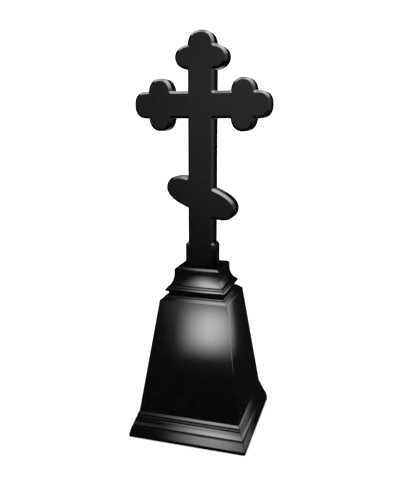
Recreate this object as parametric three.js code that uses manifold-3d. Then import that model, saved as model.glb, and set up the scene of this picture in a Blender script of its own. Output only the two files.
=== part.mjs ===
// Free-standing grave cross of painted cast iron: a bevelled slab cross with trefoil ends and a
// slanted footrest, on a moulded cap, a tall tapering pedestal and a stepped base.
// Millimetres, +Z up, the front faces -Y, and the origin is the middle of the base's underside.
import * as THREE from 'three';
import { mergeVertices } from 'three/addons/utils/BufferGeometryUtils.js';
import Module from 'manifold-3d';

const wasm = await Module();
wasm.setup();

// Gap kept between two castings that rest on each other.
const JOINT_GAP = 0.3;

// Cross: the slab.
const SLAB_THICKNESS = 91;
const BEVEL_WIDTH = 13;
const BEVEL_DEPTH = 12;
const SHAFT_HALF_WIDTH = 65.6;
const BAR_HALF_HEIGHT = 64.8;
const BAR_CENTRE_Z = 1660;
const CROSS_TOP_Z = 2000;
const ROUNDING_SEGMENTS = 84;

// Cross: trefoils. Each lobe is a superellipse. Its root is where its own centre lies, measured from
// the middle of the trefoil, and its reach is how far its tip is from that middle.
const ARM_TREFOIL_X = 206.4;
const ARM_END_LOBE = { root: 69, reach: 133.5, halfWidth: 65.2, exponent: 2.47 };
const ARM_SIDE_LOBE = { root: 45, reach: 125.6, halfWidth: 61.7, exponent: 2.35 };
const TOP_TREFOIL_Z = 1878.6;
const TOP_END_LOBE = { root: 36, reach: CROSS_TOP_Z - TOP_TREFOIL_Z, halfWidth: 67.5, exponent: 2.55 };
const TOP_SIDE_LOBE = { root: 50, reach: 129.8, halfWidth: 58.6, exponent: 2.15 };

// Cross: slanted footrest, high at the viewer's left.
const FOOTREST_CENTRE_Z = 1210.3;
const FOOTREST_HALF_LENGTH = 188;
const FOOTREST_HALF_HEIGHT = 72;
const FOOTREST_SLANT_DEG = 22.2;
const FOOTREST_END_EXPONENT = 3.6;
const FOOTREST_SIDE_EXPONENT = 2.2;
const FOOTREST_SEGMENTS = 128;

// Cross: foot block with sloping shoulders.
const FOOT_HALF_WIDTH = 80.5;
const SHOULDER_LOW_Z = 974.2;
const SHOULDER_HIGH_Z = 987.6;

// Cap, all square in plan: half widths and heights.
const CAP_TOP_Z = 866.3;
const CAP_TOP_HALF = 106.2;
const CAP_EDGE_HALF = 115.3;
const CAP_EDGE_Z = 858.8;
const CAVETTO_RADIUS = 106;
const CAVETTO_TOP_Z = 838;
const CAVETTO_END_Z = 780.3;
const CAVETTO_STEPS = 14;
const FILLET_Z = 774.2;
const FILLET_HALF = 143.2;
const PLATE_TOP_Z = 765.4;
const PLATE_TOP_HALF = 148.4;
const PLATE_HALF = 152.6;
const PLATE_NOSE_Z = 759.2;
const PLATE_EDGE_Z = 752.5;
const PLATE_UNDER_HALF = 150.4;
const PLATE_UNDER_Z = 750.3;
const NECK_HALF = 139;

// Pedestal.
const PEDESTAL_TOP_Z = 728.2;
const PEDESTAL_TOP_HALF = 149.5;
const COLLAR_STEP_Z = 724.2;
const COLLAR_HALF = 158.6;
const COLLAR_TOP_Z = 722.8;
const COLLAR_FOOT_Z = 719.2;
const PEDESTAL_SHOULDER_HALF = 174.4;
const PEDESTAL_SHOULDER_Z = 707.5;
const PEDESTAL_FOOT_HALF = 261.3;

// Base.
const BASE_TOP_Z = 131.2;
const BASE_BEVEL_HALF = 268.9;
const BASE_BEVEL_Z = 120;
const FIRST_STEP_HALF = 269.6;
const FIRST_STEP_Z = 110.6;
const SECOND_STEP_TOP_HALF = 272.2;
const SECOND_STEP_TOP_Z = 107.2;
const SECOND_STEP_HALF = 272.8;
const SECOND_STEP_Z = 98.4;
const UPPER_BAND_TOP_HALF = 278.4;
const UPPER_BAND_TOP_Z = 93.6;
const UPPER_BAND_FOOT_HALF = 287.8;
const UPPER_BAND_FOOT_Z = 68;
const UPPER_BAND_HOLLOW = 1.2;
const UPPER_BAND_STEPS = 5;
const GROOVE_HALF = 289.2;
const GROOVE_Z = 57.6;
const LOWER_BAND_TOP_HALF = 292.9;
const LOWER_BAND_TOP_Z = 56.9;
const PLINTH_HALF = 303.9;
const PLINTH_TOP_Z = 18;

const blackEnamel = () => new THREE.MeshStandardMaterial({
  color: 0x0b0c0d,
  roughness: 0.34,
  metalness: 0.0,
});

// Vertices closer together than this are one.
const WELD_DISTANCE = 1e-4;

// A solid of the modelling library from a closed three.js geometry.
function solidFrom(geometry) {
  const plain = geometry.index ? geometry.toNonIndexed() : geometry.clone();
  plain.deleteAttribute('normal');
  plain.deleteAttribute('uv');
  const merged = mergeVertices(plain, WELD_DISTANCE);
  return new wasm.Manifold(new wasm.Mesh({
    numProp: 3,
    vertProperties: new Float32Array(merged.attributes.position.array),
    triVerts: new Uint32Array(merged.index.array),
  }));
}

function geometryFrom(solid) {
  const { vertProperties, triVerts } = solid.getMesh();
  const geometry = new THREE.BufferGeometry();
  geometry.setAttribute('position', new THREE.BufferAttribute(new Float32Array(vertProperties), 3));
  geometry.setIndex(new THREE.BufferAttribute(new Uint32Array(triVerts), 1));
  return geometry;
}

// Outline points of a superellipse, counter-clockwise, turned by a slant.
function superellipse({ x, z, halfX, halfZ, exponentX, exponentZ, slantDeg = 0, segments }) {
  const slant = THREE.MathUtils.degToRad(slantDeg);
  return Array.from({ length: segments }, (_, i) => {
    const angle = (2 * Math.PI * i) / segments;
    const c = Math.cos(angle);
    const s = Math.sin(angle);
    const along = halfX * Math.sign(c) * Math.abs(c) ** (2 / exponentX);
    const across = halfZ * Math.sign(s) * Math.abs(s) ** (2 / exponentZ);
    return new THREE.Vector2(
      x + along * Math.cos(slant) - across * Math.sin(slant),
      z + along * Math.sin(slant) + across * Math.cos(slant),
    );
  });
}

function rectangle(left, right, low, high) {
  return [[left, low], [right, low], [right, high], [left, high]].map(([x, z]) => new THREE.Vector2(x, z));
}

// An upright slab of the cross: the outline drawn in X and Z, given the slab's thickness, with the
// arris bevelled all round at front and back.
function slab(outline) {
  const geometry = new THREE.ExtrudeGeometry(new THREE.Shape(outline), {
    depth: SLAB_THICKNESS - 2 * BEVEL_DEPTH,
    steps: 1,
    bevelThickness: BEVEL_DEPTH,
    bevelSize: BEVEL_WIDTH,
    bevelOffset: -BEVEL_WIDTH,
    bevelSegments: 1,
  });
  geometry.translate(0, 0, BEVEL_DEPTH - SLAB_THICKNESS / 2);
  geometry.rotateX(Math.PI / 2);
  return solidFrom(geometry);
}

// A lobe of a trefoil whose middle is at (x, z). It points along (dx, dz), which is an axis.
function lobe({ root, reach, halfWidth, exponent }, x, z, dx, dz) {
  const length = reach - root;
  return slab(superellipse({
    x: x + dx * root,
    z: z + dz * root,
    halfX: dx === 0 ? halfWidth : length,
    halfZ: dz === 0 ? halfWidth : length,
    exponentX: exponent,
    exponentZ: exponent,
    segments: ROUNDING_SEGMENTS,
  }));
}

// The shaft and the foot block reach below their seat on the cap, so that the cut there takes off
// their lower bevels.
const SEAT_Z = CAP_TOP_Z + JOINT_GAP;
const BELOW_SEAT_Z = SEAT_Z - 2 * BEVEL_WIDTH;

function footBlock() {
  return slab([
    new THREE.Vector2(-FOOT_HALF_WIDTH, BELOW_SEAT_Z),
    new THREE.Vector2(FOOT_HALF_WIDTH, BELOW_SEAT_Z),
    new THREE.Vector2(FOOT_HALF_WIDTH, SHOULDER_LOW_Z),
    new THREE.Vector2(SHAFT_HALF_WIDTH, SHOULDER_HIGH_Z),
    new THREE.Vector2(-SHAFT_HALF_WIDTH, SHOULDER_HIGH_Z),
    new THREE.Vector2(-FOOT_HALF_WIDTH, SHOULDER_LOW_Z),
  ]);
}

function cross() {
  const armSpan = ARM_TREFOIL_X + ARM_END_LOBE.root;
  const shaftTop = TOP_TREFOIL_Z + TOP_END_LOBE.root;
  let solid = slab(rectangle(-SHAFT_HALF_WIDTH, SHAFT_HALF_WIDTH, BELOW_SEAT_Z, shaftTop));
  const parts = [
    slab(rectangle(-armSpan, armSpan, BAR_CENTRE_Z - BAR_HALF_HEIGHT, BAR_CENTRE_Z + BAR_HALF_HEIGHT)),
    slab(superellipse({
      x: 0,
      z: FOOTREST_CENTRE_Z,
      halfX: FOOTREST_HALF_LENGTH,
      halfZ: FOOTREST_HALF_HEIGHT,
      exponentX: FOOTREST_END_EXPONENT,
      exponentZ: FOOTREST_SIDE_EXPONENT,
      slantDeg: -FOOTREST_SLANT_DEG,
      segments: FOOTREST_SEGMENTS,
    })),
    lobe(TOP_END_LOBE, 0, TOP_TREFOIL_Z, 0, 1),
    footBlock(),
  ];
  for (const side of [-1, 1]) {
    parts.push(lobe(ARM_END_LOBE, side * ARM_TREFOIL_X, BAR_CENTRE_Z, side, 0));
    parts.push(lobe(ARM_SIDE_LOBE, side * ARM_TREFOIL_X, BAR_CENTRE_Z, 0, 1));
    parts.push(lobe(ARM_SIDE_LOBE, side * ARM_TREFOIL_X, BAR_CENTRE_Z, 0, -1));
    parts.push(lobe(TOP_SIDE_LOBE, 0, TOP_TREFOIL_Z, side, 0));
  }
  for (const part of parts) {
    solid = solid.add(part);
  }
  const below = new THREE.BoxGeometry(4 * FOOT_HALF_WIDTH, 4 * SLAB_THICKNESS, 4 * BEVEL_WIDTH);
  below.translate(0, 0, BELOW_SEAT_Z);
  return geometryFrom(solid.subtract(solidFrom(below)));
}

// A body that is square in plan, from its outline of [half width, height] points, bottom to top.
// A lathe of four segments has its corners on the diagonals, so a half width is turned into a radius.
function squareBody(outline) {
  const points = [
    new THREE.Vector2(0, outline[0][1]),
    ...outline.map(([half, z]) => new THREE.Vector2(half * Math.SQRT2, z)),
    new THREE.Vector2(0, outline.at(-1)[1]),
  ];
  const geometry = new THREE.LatheGeometry(points, 4, Math.PI / 4);
  geometry.rotateX(Math.PI / 2);
  return geometry;
}

// Hollow curve of the cap: a quarter-round that starts upright under the top slab and flares out.
function cavettoPoints() {
  return Array.from({ length: CAVETTO_STEPS + 1 }, (_, i) => {
    const z = CAVETTO_END_Z + ((CAVETTO_TOP_Z - CAVETTO_END_Z) * i) / CAVETTO_STEPS;
    const half = CAP_EDGE_HALF + CAVETTO_RADIUS - Math.sqrt(CAVETTO_RADIUS ** 2 - (CAVETTO_TOP_Z - z) ** 2);
    return [half, z];
  });
}

function cap() {
  const cavetto = cavettoPoints();
  return squareBody([
    [NECK_HALF, PEDESTAL_TOP_Z + JOINT_GAP],
    [NECK_HALF, PLATE_UNDER_Z],
    [PLATE_UNDER_HALF, PLATE_UNDER_Z],
    [PLATE_HALF, PLATE_EDGE_Z],
    [PLATE_HALF, PLATE_NOSE_Z],
    [PLATE_TOP_HALF, PLATE_TOP_Z],
    [FILLET_HALF, PLATE_TOP_Z],
    [FILLET_HALF, FILLET_Z],
    [cavetto[0][0], FILLET_Z],
    ...cavetto,
    [CAP_EDGE_HALF, CAP_EDGE_Z],
    [CAP_TOP_HALF, CAP_TOP_Z],
  ]);
}

function pedestal() {
  return squareBody([
    [PEDESTAL_FOOT_HALF, BASE_TOP_Z + JOINT_GAP],
    [PEDESTAL_SHOULDER_HALF, PEDESTAL_SHOULDER_Z],
    [COLLAR_HALF, COLLAR_FOOT_Z],
    [COLLAR_HALF, COLLAR_TOP_Z],
    [PEDESTAL_TOP_HALF, COLLAR_STEP_Z],
    [PEDESTAL_TOP_HALF, PEDESTAL_TOP_Z],
  ]);
}

// The base's upper band is very slightly hollow: a parabola that sinks below its chord.
function upperBandPoints() {
  return Array.from({ length: UPPER_BAND_STEPS + 1 }, (_, i) => {
    const t = i / UPPER_BAND_STEPS;
    const half = THREE.MathUtils.lerp(UPPER_BAND_FOOT_HALF, UPPER_BAND_TOP_HALF, t);
    const z = THREE.MathUtils.lerp(UPPER_BAND_FOOT_Z, UPPER_BAND_TOP_Z, t);
    return [half - UPPER_BAND_HOLLOW * 4 * t * (1 - t), z];
  });
}

function base() {
  return squareBody([
    [PLINTH_HALF, 0],
    [PLINTH_HALF, PLINTH_TOP_Z],
    [LOWER_BAND_TOP_HALF, LOWER_BAND_TOP_Z],
    [GROOVE_HALF, GROOVE_Z],
    ...upperBandPoints(),
    [SECOND_STEP_HALF, SECOND_STEP_Z],
    [SECOND_STEP_TOP_HALF, SECOND_STEP_TOP_Z],
    [FIRST_STEP_HALF, FIRST_STEP_Z],
    [BASE_BEVEL_HALF, BASE_BEVEL_Z],
    [PEDESTAL_FOOT_HALF, BASE_TOP_Z],
  ]);
}

function piece(name, geometry) {
  const mesh = new THREE.Mesh(geometry, blackEnamel());
  mesh.name = name;
  return mesh;
}

const monument = new THREE.Group();
monument.add(piece('base', base()));
monument.add(piece('pedestal', pedestal()));
monument.add(piece('cap', cap()));
monument.add(piece('cross', cross()));

export default monument;
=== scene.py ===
# A standing grave cross of cast iron under black enamel: a bevelled slab cross with trefoil ends and a
# slanted footrest, on a moulded cap, a tapering pedestal and a stepped base. Metres, +Z up, front at -Y.
import math
import bmesh
import bpy
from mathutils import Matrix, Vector
from mathutils.geometry import tessellate_polygon


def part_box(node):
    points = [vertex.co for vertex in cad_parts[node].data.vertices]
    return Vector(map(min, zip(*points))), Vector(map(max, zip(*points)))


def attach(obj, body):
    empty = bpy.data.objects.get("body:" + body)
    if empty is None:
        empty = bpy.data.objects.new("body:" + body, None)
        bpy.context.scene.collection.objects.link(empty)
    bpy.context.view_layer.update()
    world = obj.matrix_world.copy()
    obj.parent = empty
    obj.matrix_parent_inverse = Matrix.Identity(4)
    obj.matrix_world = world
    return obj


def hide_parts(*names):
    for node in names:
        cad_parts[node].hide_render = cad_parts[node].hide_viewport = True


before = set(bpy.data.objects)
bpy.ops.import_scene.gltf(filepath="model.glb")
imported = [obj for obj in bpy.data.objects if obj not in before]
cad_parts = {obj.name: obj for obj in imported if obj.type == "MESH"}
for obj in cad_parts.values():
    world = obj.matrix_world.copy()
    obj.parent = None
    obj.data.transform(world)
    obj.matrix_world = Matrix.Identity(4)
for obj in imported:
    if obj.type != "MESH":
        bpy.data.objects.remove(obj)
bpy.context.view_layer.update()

MM = 0.001

# The photograph's camera, solved from the object's own edges and outline.
CAMERA_PLACE = (0.799, -2.699, 1.581)
CAMERA_TURN_LEFT = math.radians(16.78)
CAMERA_TILT_DOWN = math.radians(12.85)
SENSOR = 36.0
LENS = 40.53

# How the castings are finished: what a pattern maker and a painter leave of a sharp arris.
ARRIS_RADIUS = 1.6 * MM
SEAT_ARRIS_RADIUS = 2.4 * MM
NOSE_RADIUS = 4.0 * MM
HOLLOW_RADIUS = 1.2 * MM
PLAN_CORNER_RADIUS = 2.2 * MM
CREASE_RADIUS = 2.5 * MM
ARC_STEPS = 4

# The cap's moulded noses lie deeper than this below its top, and its bevelled top slab above.
CAP_BEVEL_DEPTH = 12.0 * MM

# Where an outline turns by less than the first of these, it is on a curve. By less than the second, it is
# straight.
SMOOTH_TURN = math.radians(12)
STRAIGHT_TURN = math.radians(0.2)

# How close two points, a point and the section plane, and an arris and a seat have to be to count as one.
SAME_POINT = 0.01 * MM
ON_PLANE = 0.001 * MM
AT_SEAT = 0.5 * MM
DIGITS = 6

# A rounding takes at most this share of the shorter of its two sides.
MOST_OF_A_SIDE = 0.45

# Two sides whose directions have a smaller cross product than this are parallel.
PARALLEL = 1e-4

# Blender's strongest setting for how far a large flat face leads the normals at its edges.
FLAT_FACES_LEAD = 100

SLOT = "black_enamel_cast_iron"


def linear(colour):
    """An sRGB hex colour as the linear values that shaders take."""
    parts = [int(colour[i:i + 2], 16) / 255 for i in (1, 3, 5)]
    return [c / 12.92 if c <= 0.04045 else ((c + 0.055) / 1.055) ** 2.4 for c in parts]


# Outlines.

def turn(before, here, after):
    """How far a path turns at a point, positive to the left."""
    a = here - before
    b = after - here
    return math.atan2(a.x * b.y - a.y * b.x, a.dot(b))


def section(node):
    """The outline of a CAD solid in the plane y = 0, as (x, z) points. It runs counter-clockwise from the
    lowest left."""
    shape = bmesh.new()
    shape.from_mesh(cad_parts[node].data)
    bmesh.ops.remove_doubles(shape, verts=shape.verts, dist=SAME_POINT)
    every = list(shape.verts) + list(shape.edges) + list(shape.faces)
    cut = bmesh.ops.bisect_plane(shape, geom=every, dist=ON_PLANE, plane_no=(0, 1, 0))["geom_cut"]
    edges = {e for e in cut if isinstance(e, bmesh.types.BMEdge)}
    start = min((v for e in edges for v in e.verts), key=lambda v: (round(v.co.z, DIGITS), v.co.x))
    chain = [start]
    while edges:
        edge = next((e for e in edges if chain[-1] in e.verts), None)
        if edge is None:
            break
        edges.remove(edge)
        chain.append(edge.other_vert(chain[-1]))
    points = [Vector((v.co.x, v.co.z)) for v in chain[:-1]]
    shape.free()
    count = len(points)
    area = sum(points[i - 1].x * points[i].y - points[i].x * points[i - 1].y for i in range(count))
    if area < 0:
        points = [points[0]] + points[:0:-1]
    turns = [turn(points[i - 1], p, points[(i + 1) % count]) for i, p in enumerate(points)]
    return [p for p, angle in zip(points, turns) if abs(angle) > STRAIGHT_TURN]


def arc(before, here, after, radius):
    """The points that round a corner to a radius, or as far as its two sides allow."""
    angle = turn(before, here, after)
    a = (here - before).normalized()
    b = (after - here).normalized()
    most = MOST_OF_A_SIDE * min((here - before).length, (after - here).length)
    reach = min(radius * math.tan(abs(angle) / 2), most)
    radius = reach / math.tan(abs(angle) / 2)
    side = Vector((-a.y, a.x)) * math.copysign(1, angle)
    centre = here - a * reach + side * radius
    spoke = -side * radius
    points = []
    for i in range(ARC_STEPS + 1):
        t = angle * i / ARC_STEPS
        c, s = math.cos(t), math.sin(t)
        points.append(centre + Vector((spoke.x * c - spoke.y * s, spoke.x * s + spoke.y * c)))
    return points


# Making a casting.

def new_piece(name, shape, node):
    """A finished casting that stands for its CAD node. The castings don't mirror one another."""
    bmesh.ops.recalc_face_normals(shape, faces=shape.faces)
    mesh = bpy.data.meshes.new(name)
    shape.to_mesh(mesh)
    shape.free()
    mesh.shade_smooth()
    piece = bpy.data.objects.new(name, mesh)
    bpy.context.collection.objects.link(piece)
    weighted = piece.modifiers.new("flat faces stay flat", "WEIGHTED_NORMAL")
    weighted.weight = FLAT_FACES_LEAD
    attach(piece, "root")
    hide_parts(node)
    piece.visible_glossy = False
    return piece


def bridge(shape, lower, upper):
    """A band of four-sided faces between two rings of as many points."""
    for i in range(len(lower)):
        shape.faces.new((lower[i - 1], lower[i], upper[i], upper[i - 1]))


# Square castings.

def half_profile(node):
    """The right half of a square casting's section, bottom to top, with every arris and hollow rounded."""
    right = [p for p in section(node) if p.x > 0]
    low, high = right[0], right[-1]
    path = [Vector((0, low.y))] + right + [Vector((0, high.y))]
    rounded = []
    for before, here, after in zip(path, path[1:], path[2:]):
        angle = turn(before, here, after)
        if abs(angle) < SMOOTH_TURN:
            rounded.append(here)
            continue
        if angle < 0:
            radius = HOLLOW_RADIUS
        elif node == "cap" and here.y < high.y - CAP_BEVEL_DEPTH:
            radius = NOSE_RADIUS
        elif min(abs(here.y - low.y), abs(here.y - high.y)) < AT_SEAT:
            radius = SEAT_ARRIS_RADIUS
        else:
            radius = ARRIS_RADIUS
        rounded += arc(before, here, after, radius)
    return rounded


def square_ring(half, radius):
    """A square in plan with rounded corners, counter-clockwise."""
    centre = half - radius
    points = []
    for quarter in range(4):
        for i in range(ARC_STEPS + 1):
            angle = math.pi / 2 * (quarter + i / ARC_STEPS)
            mid = math.pi / 4 * (2 * quarter + 1)
            x = centre * math.copysign(1, math.cos(mid)) + radius * math.cos(angle)
            y = centre * math.copysign(1, math.sin(mid)) + radius * math.sin(angle)
            points.append((x, y))
    return points


def square_casting(node):
    """The base, the pedestal or the cap: its rounded half profile, carried round a square."""
    shape = bmesh.new()
    rings = []
    for p in half_profile(node):
        rings.append([shape.verts.new((x, y, p.y)) for x, y in square_ring(p.x, PLAN_CORNER_RADIUS)])
    for lower, upper in zip(rings, rings[1:]):
        bridge(shape, lower, upper)
    shape.faces.new(rings[0])
    shape.faces.new(rings[-1])
    return new_piece(f"{node}_casting", shape, node)


# The cross.

def inset(outline, distance, seat):
    """The outline moved inwards by a distance. Its foot edge, at the height seat, stays where it is."""
    moved = []
    count = len(outline)
    for i, here in enumerate(outline):
        before, after = outline[i - 1], outline[(i + 1) % count]
        a = (here - before).normalized()
        b = (after - here).normalized()
        on_seat = [abs(p.y - seat) < SAME_POINT for p in (before, here, after)]
        da = 0 if on_seat[0] and on_seat[1] else distance
        db = 0 if on_seat[1] and on_seat[2] else distance
        product = a.x * b.y - a.y * b.x
        if abs(product) < PARALLEL:
            moved.append(here + Vector((-a.y, a.x)) * distance)
        else:
            moved.append(here + (b * da - a * db) / product)
    return moved


def slab_profile(thickness, bevel_width, bevel_depth):
    """The slab's edge from the middle of its side to its face, as (inset, distance from the middle)."""
    middle = Vector((0, 0))
    low = Vector((0, thickness / 2 - bevel_depth))
    high = Vector((bevel_width, thickness / 2))
    well_inside = Vector((3 * bevel_width, thickness / 2))
    return arc(middle, low, high, ARRIS_RADIUS) + arc(low, high, well_inside, ARRIS_RADIUS)


def cross_casting(node):
    """The cross: its outline with softened creases, given the slab's bevelled edge at front and back."""
    outline = section(node)
    low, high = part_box(node)
    seat = low[2]
    corners = [v.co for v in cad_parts[node].data.vertices]
    levels = sorted({round(abs(p.y), DIGITS) for p in corners})
    thickness = 2 * levels[-1]
    bevel_depth = levels[-1] - levels[0]
    widths = sorted(abs(p.x) for p in corners if abs(p.z - seat) < SAME_POINT)
    bevel_width = widths[-1] - widths[0]
    softened = []
    for i, here in enumerate(outline):
        before, after = outline[i - 1], outline[(i + 1) % len(outline)]
        if turn(before, here, after) < -SMOOTH_TURN:
            softened += arc(before, here, after, CREASE_RADIUS)
        else:
            softened.append(here)
    shape = bmesh.new()
    half = slab_profile(thickness, bevel_width, bevel_depth)
    rings = []
    back_to_front = [(p.x, p.y) for p in reversed(half)] + [(p.x, -p.y) for p in half]
    for distance, y in back_to_front:
        rings.append([shape.verts.new((p.x, y, p.y)) for p in inset(softened, distance, seat)])
    for back, front in zip(rings, rings[1:]):
        bridge(shape, back, front)
    for ring in (rings[0], rings[-1]):
        for triangle in tessellate_polygon([[v.co for v in ring]]):
            shape.faces.new([ring[i] for i in triangle])
    return new_piece(f"{node}_casting", shape, node)


# Finish.

def add(tree, kind, settings=None, links=None):
    """Adds a node, sets its settings and socket values, and links its inputs from other nodes' sockets."""
    node = tree.nodes.new(kind)
    for name, value in (settings or {}).items():
        if isinstance(name, str) and name in node.inputs:
            node.inputs[name].default_value = value
        else:
            setattr(node, name, value)
    for name, source in (links or {}).items():
        tree.links.new(source, node.inputs[name])
    return node


# Sizes of the enamel's patterns. Orange peel in brushed enamel is taken as 2 mm across, and it is drawn
# three times as coarse, so that it shows. The mottle stands for the faint speckle of the photograph's dark
# places, and the haze for uneven brushing. The sizes of these two were chosen, not measured.
PEEL_SIZE = 6 * MM
PEEL_HEIGHT = 0.3 * MM
PEEL_STRENGTH = 0.05
MOTTLE_SIZE = 12 * MM
HAZE_SIZE = 90 * MM
MOTTLE_BLACKS = ("#020202", "#0a0a0a")
GLOSS_ROUGHNESS = (0.08, 0.1)
ENAMEL_IOR = 1.5

# Faces whose normal rises within this range lose their gloss, as under rain and dust. Seen low from behind,
# the cap's top still mirrors the front softboxes.
DULL_FROM, DULL_TO = 0.95, 0.99
BRIGHT_SPECULAR, DULL_SPECULAR = 0.5, 0.03


def black_enamel():
    """Cast iron, ground smooth, stopped and brushed with black oil enamel. The eye sees a near-black body
    whose only light is in its gloss: sharp enough to show a lamp's shape, softened by faint orange peel,
    and weaker on the faces that look up."""
    material = bpy.data.materials.new(SLOT)
    material.use_nodes = True
    tree = material.node_tree
    tree.nodes.clear()
    place = {"Vector": add(tree, "ShaderNodeTexCoord").outputs["Object"]}

    haze = add(tree, "ShaderNodeTexNoise", {"Scale": 1 / HAZE_SIZE, "Detail": 5.0, "Roughness": 0.6}, place)
    clear, hazy = GLOSS_ROUGHNESS
    spread = {"From Min": 0.3, "From Max": 0.7, "To Min": clear, "To Max": hazy}
    gloss = add(tree, "ShaderNodeMapRange", spread, {"Value": haze.outputs["Fac"]})

    peel = add(tree, "ShaderNodeTexNoise", {"Scale": 1 / PEEL_SIZE, "Detail": 2.0}, place)
    bump = add(tree, "ShaderNodeBump", {"Strength": PEEL_STRENGTH, "Distance": PEEL_HEIGHT},
               {"Height": peel.outputs["Fac"]})

    patches = {"Scale": 1 / MOTTLE_SIZE, "Detail": 3.0, "Roughness": 0.7}
    mottle = add(tree, "ShaderNodeTexNoise", patches, place)
    contrast = {"From Min": 0.35, "From Max": 0.65}
    depth = add(tree, "ShaderNodeMapRange", contrast, {"Value": mottle.outputs["Fac"]})
    tone = add(tree, "ShaderNodeMix", {"data_type": "RGBA"}, {"Factor": depth.outputs["Result"]})
    for socket, black in zip(("A", "B"), MOTTLE_BLACKS):
        tone.inputs[socket].default_value = (*linear(black), 1)

    normal = add(tree, "ShaderNodeNewGeometry").outputs["Normal"]
    facing = add(tree, "ShaderNodeSeparateXYZ", None, {"Vector": normal})
    loss = {"From Min": DULL_FROM, "From Max": DULL_TO, "To Min": BRIGHT_SPECULAR, "To Max": DULL_SPECULAR}
    shine = add(tree, "ShaderNodeMapRange", loss, {"Value": facing.outputs["Z"]})

    shader = add(tree, "ShaderNodeBsdfPrincipled", {"IOR": ENAMEL_IOR, "Metallic": 0.0},
                 {"Base Color": tone.outputs["Result"], "Roughness": gloss.outputs["Result"],
                  "Normal": bump.outputs["Normal"], "Specular IOR Level": shine.outputs["Result"]})
    add(tree, "ShaderNodeOutputMaterial", None, {"Surface": shader.outputs["BSDF"]})
    return material


# The studio.

FLOOR_HALF = 20.0
FLOOR_SQUARES = 8
PAPER_WHITE = "#fafafa"

# A softbox's cloth is measured from 0 to 1 each way, so this is its middle line.
CLOTH_MIDDLE = 0.5

# How bright the surround is to the eye and in reflections.
SEEN_BRIGHTNESS = 1.7
MIRRORED_BRIGHTNESS = 0.01


def pale_floor():
    """A sheet of matt white paper. It takes no shadow, so that it runs into the background without a line."""
    shape = bmesh.new()
    bmesh.ops.create_grid(shape, x_segments=FLOOR_SQUARES, y_segments=FLOOR_SQUARES, size=FLOOR_HALF)
    mesh = bpy.data.meshes.new("floor")
    shape.to_mesh(mesh)
    shape.free()
    floor = bpy.data.objects.new("floor", mesh)
    bpy.context.collection.objects.link(floor)
    material = bpy.data.materials.new("pale_paper")
    material.use_nodes = True
    shader = material.node_tree.nodes["Principled BSDF"]
    shader.inputs["Base Color"].default_value = (*linear(PAPER_WHITE), 1)
    shader.inputs["Roughness"].default_value = 1.0
    shader.inputs["Specular IOR Level"].default_value = 0.0
    mesh.materials.append(material)
    floor.visible_glossy = False
    floor.visible_shadow = False


def white_surround():
    """A white room to the eye and to matt surfaces, and a dim one in reflections, as between black flags."""
    world = bpy.data.worlds.new("studio")
    bpy.context.scene.world = world
    world.use_nodes = True
    world.cycles.sampling_method = "NONE"
    tree = world.node_tree
    tree.nodes.clear()
    ray = add(tree, "ShaderNodeLightPath")
    strength = add(tree, "ShaderNodeMapRange", {"To Min": SEEN_BRIGHTNESS, "To Max": MIRRORED_BRIGHTNESS},
                   {"Value": ray.outputs["Is Glossy Ray"]})
    white = {"Color": (1, 1, 1, 1)}
    background = add(tree, "ShaderNodeBackground", white, {"Strength": strength.outputs["Result"]})
    add(tree, "ShaderNodeOutputWorld", None, {"Surface": background.outputs["Background"]})


def softbox(name, lit, aim, azimuth, elevation, distance, size, fades, radiance):
    """A rectangular softbox that only the castings in lit can mirror. It hangs at an azimuth, from the
    front to the right, and an elevation, both seen from its aim. Its radiance is a multiple of the
    picture's white, and towards its edges it fades over a share of its half size, like the cloth of a box
    lit from its middle."""
    turn_right, rise = math.radians(azimuth), math.radians(elevation)
    level = math.cos(rise)
    out = Vector((math.sin(turn_right) * level, -math.cos(turn_right) * level, math.sin(rise)))
    data = bpy.data.lights.new(name, "AREA")
    data.shape = "RECTANGLE"
    data.size, data.size_y = size
    data.energy = radiance * math.pi * size[0] * size[1]
    data.use_nodes = True
    tree = data.node_tree
    tree.nodes.clear()
    cloth = add(tree, "ShaderNodeNewGeometry").outputs["Parametric"]
    across = add(tree, "ShaderNodeSeparateXYZ", None, {"Vector": cloth})
    shares = []
    for axis, fade in zip("XY", fades):
        middle = add(tree, "ShaderNodeMath", {"operation": "SUBTRACT"}, {0: across.outputs[axis]})
        middle.inputs[1].default_value = CLOTH_MIDDLE
        away = add(tree, "ShaderNodeMath", {"operation": "ABSOLUTE"}, {0: middle.outputs[0]})
        full = CLOTH_MIDDLE * (1 - fade)
        falloff = {"interpolation_type": "SMOOTHSTEP", "From Min": CLOTH_MIDDLE, "From Max": full}
        shares.append(add(tree, "ShaderNodeMapRange", falloff, {"Value": away.outputs[0]}).outputs[0])
    glow = add(tree, "ShaderNodeMath", {"operation": "MULTIPLY"}, {0: shares[0], 1: shares[1]})
    lamp = add(tree, "ShaderNodeEmission", None, {"Strength": glow.outputs[0]})
    add(tree, "ShaderNodeOutputLight", None, {"Surface": lamp.outputs[0]})
    light = bpy.data.objects.new(name, data)
    light.location = Vector(aim) + out * distance
    light.rotation_euler = (-out).to_track_quat("-Z", "Y").to_euler()
    light.visible_camera = False
    light.visible_diffuse = False
    bpy.context.collection.objects.link(light)
    group = bpy.data.collections.new(f"mirrors {name}")
    for piece in lit:
        group.objects.link(piece)
    light.light_linking.receiver_collection = group


# Where each group of softboxes aims. Most settings of the boxes in front were fitted by calculation to the
# photograph's brightness, then rounded and partly adjusted. The rest were set one by one.
CROSS_AIM = (0, 0, 1.5)
CAP_AIM = (0, -0.1, 0.8)
PEDESTAL_AIM = (0, -0.1, 0.45)
BASE_AIM = (0.05, -0.25, 0.07)
ROUND_AIM = (0, 0, 0.9)


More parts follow.
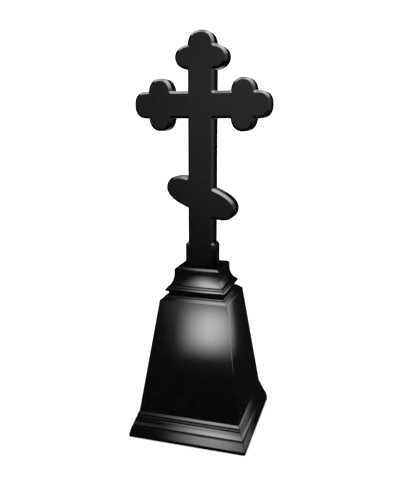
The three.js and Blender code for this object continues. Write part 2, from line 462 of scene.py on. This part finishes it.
def light_cross(cross):
    """The cross is nearly black, and pale only along its bevels."""
    # Lifts the flat face just off black.
    softbox("cross face", [cross], CROSS_AIM, azimuth=-4, elevation=10, distance=3.0,
            size=(5.0, 5.0), fades=(1.0, 1.0), radiance=0.48)
    # Draws the bevels that look up and to the right as pale bands.
    softbox("cross high right", [cross], CROSS_AIM, azimuth=43, elevation=58, distance=2.65,
            size=(4.9, 5.0), fades=(0.9, 0.9), radiance=9.7)
    # Lights the bevels along the tops of the arms, the lobes and the footrest.
    softbox("cross overhead", [cross], CROSS_AIM, azimuth=-46, elevation=80.5, distance=3.0,
            size=(4.9, 4.0), fades=(1.0, 0.3), radiance=3.0)
    # Gives the bevels on the right a faint sheen.
    softbox("cross right", [cross], CROSS_AIM, azimuth=65.5, elevation=11.5, distance=2.8,
            size=(1.8, 4.9), fades=(0.6, 0.95), radiance=0.86)


def light_cap(cap):
    """The cap has the brightest mouldings: its hollow curve, its bevel and its noses."""
    # The broad pale patch low in the hollow curve, and a strip that lets it fade out upwards.
    softbox("cap front", [cap], CAP_AIM, azimuth=-4, elevation=44.4, distance=0.68,
            size=(0.51, 1.02), fades=(0.6, 0.95), radiance=6.0)
    softbox("cap strip", [cap], CAP_AIM, azimuth=-11.2, elevation=28.3, distance=0.66,
            size=(0.22, 1.22), fades=(1.0, 1.0), radiance=6.8)
    # The bright line along the bevel of the top slab.
    softbox("cap overhead", [cap], CAP_AIM, azimuth=105, elevation=86.8, distance=0.76,
            size=(1.2, 0.73), fades=(0.27, 0.55), radiance=5.6)
    # A low glow on the right face.
    softbox("cap return", [cap], CAP_AIM, azimuth=150.8, elevation=3.4, distance=1.08,
            size=(0.11, 1.25), fades=(0.75, 0.28), radiance=1.8)
    # The noses of the fillet and the plate.
    softbox("cap high", [cap], CAP_AIM, azimuth=0, elevation=64.1, distance=0.92,
            size=(0.97, 0.28), fades=(0.78, 0.33), radiance=4.0)
    # Carries the light round the near arris.
    softbox("cap arris", [cap], CAP_AIM, azimuth=24, elevation=16, distance=0.84,
            size=(0.86, 0.9), fades=(0.69, 0.64), radiance=4.1)


def light_pedestal(pedestal):
    """The pedestal has one soft glow, high on its front and over its near arris."""
    # The soft square glow high on the front, with a crisp lower edge.
    softbox("pedestal glow", [pedestal], PEDESTAL_AIM, azimuth=-10.5, elevation=1.0, distance=1.59,
            size=(0.56, 0.5), fades=(1.0, 0.88), radiance=11.6)
    # A wide weak box behind it: the glow runs out to the left and up, and the collar shows.
    softbox("pedestal tail", [pedestal], PEDESTAL_AIM, azimuth=-5, elevation=25.5, distance=1.14,
            size=(1.0, 1.7), fades=(0.64, 0.82), radiance=1.16)
    # The pale bevel of the shoulder.
    softbox("pedestal overhead", [pedestal], PEDESTAL_AIM, azimuth=-47, elevation=87.3, distance=1.58,
            size=(0.64, 0.95), fades=(0.66, 0.64), radiance=8.1)
    # The glow that goes on over the near arris and dies away on the right face.
    softbox("pedestal return", [pedestal], PEDESTAL_AIM, azimuth=126.5, elevation=16.5, distance=0.71,
            size=(0.66, 1.07), fades=(0.28, 0.52), radiance=1.75)
    # Fills the near arris itself, so that no dark line parts the two glows.
    softbox("pedestal arris", [pedestal], PEDESTAL_AIM, azimuth=50, elevation=4, distance=1.4,
            size=(2.6, 0.5), fades=(0.4, 0.7), radiance=9.0)


def light_base(base):
    """The base has shining bands that grow brighter towards its near corner."""
    # The bright bevel at the top of the base.
    softbox("base high", [base], BASE_AIM, azimuth=7.7, elevation=40.2, distance=2.55,
            size=(2.9, 0.2), fades=(0.46, 0.75), radiance=5.9)
    # The broad shine of the two bands, strongest near the right.
    softbox("base strip", [base], BASE_AIM, azimuth=-9.8, elevation=15.4, distance=1.61,
            size=(0.83, 2.15), fades=(1.0, 1.0), radiance=10.6)
    # Thin lines on the narrow slopes between the steps.
    softbox("base overhead", [base], BASE_AIM, azimuth=-21.7, elevation=63.5, distance=3.0,
            size=(1.68, 0.34), fades=(1.0, 1.0), radiance=9.7)
    # The bands of the right face.
    softbox("base return", [base], BASE_AIM, azimuth=141.2, elevation=8.5, distance=1.3,
            size=(0.36, 1.7), fades=(0.87, 0.36), radiance=1.15)
    # Keeps the left end off black.
    softbox("base fill", [base], BASE_AIM, azimuth=-27, elevation=30, distance=1.6,
            size=(0.8, 1.8), fades=(1.0, 0.8), radiance=0.6)


def light_other_sides(cross, cap, pedestal, base):
    """Cards and lights for the other sides, the back and the top."""
    every = [base, pedestal, cap, cross]
    softbox("left card", every, ROUND_AIM, azimuth=-80, elevation=12, distance=3.2,
            size=(2.6, 2.8), fades=(0.6, 0.6), radiance=1.0)
    softbox("right card", every, ROUND_AIM, azimuth=96, elevation=12, distance=3.2,
            size=(2.0, 2.8), fades=(0.6, 0.6), radiance=0.9)
    softbox("cross back", [cross], CROSS_AIM, azimuth=209, elevation=-3, distance=3.2,
            size=(4.0, 3.0), fades=(0.3, 0.7), radiance=0.5)
    softbox("lower back", [pedestal, base], ROUND_AIM, azimuth=205, elevation=-10, distance=3.2,
            size=(4.4, 1.4), fades=(0.5, 0.9), radiance=1.0)
    softbox("high back", every, ROUND_AIM, azimuth=190, elevation=62, distance=3.0,
            size=(2.4, 1.2), fades=(0.6, 0.6), radiance=5.0)
    softbox("high left", [cross], ROUND_AIM, azimuth=-100, elevation=64, distance=3.0,
            size=(1.2, 2.0), fades=(0.6, 0.6), radiance=5.0)
    softbox("high right", every, ROUND_AIM, azimuth=100, elevation=62, distance=3.0,
            size=(1.0, 1.8), fades=(0.6, 0.6), radiance=4.0)


def camera():
    """The photograph's viewpoint: eye height, a little to the right of the front."""
    data = bpy.data.cameras.new("camera")
    data.sensor_width = SENSOR
    data.lens = LENS
    eye = bpy.data.objects.new("camera", data)
    eye.location = CAMERA_PLACE
    eye.rotation_euler = (math.pi / 2 - CAMERA_TILT_DOWN, 0, CAMERA_TURN_LEFT)
    bpy.context.collection.objects.link(eye)
    bpy.context.scene.camera = eye


camera()
enamel = black_enamel()
base, pedestal, cap = [square_casting(node) for node in ("base", "pedestal", "cap")]
cross = cross_casting("cross")
for casting in (base, pedestal, cap, cross):
    casting.data.materials.append(enamel)

pale_floor()
white_surround()
light_cross(cross)
light_cap(cap)
light_pedestal(pedestal)
light_base(base)
light_other_sides(cross, cap, pedestal, base)
bpy.context.scene.view_settings.view_transform = "Standard"
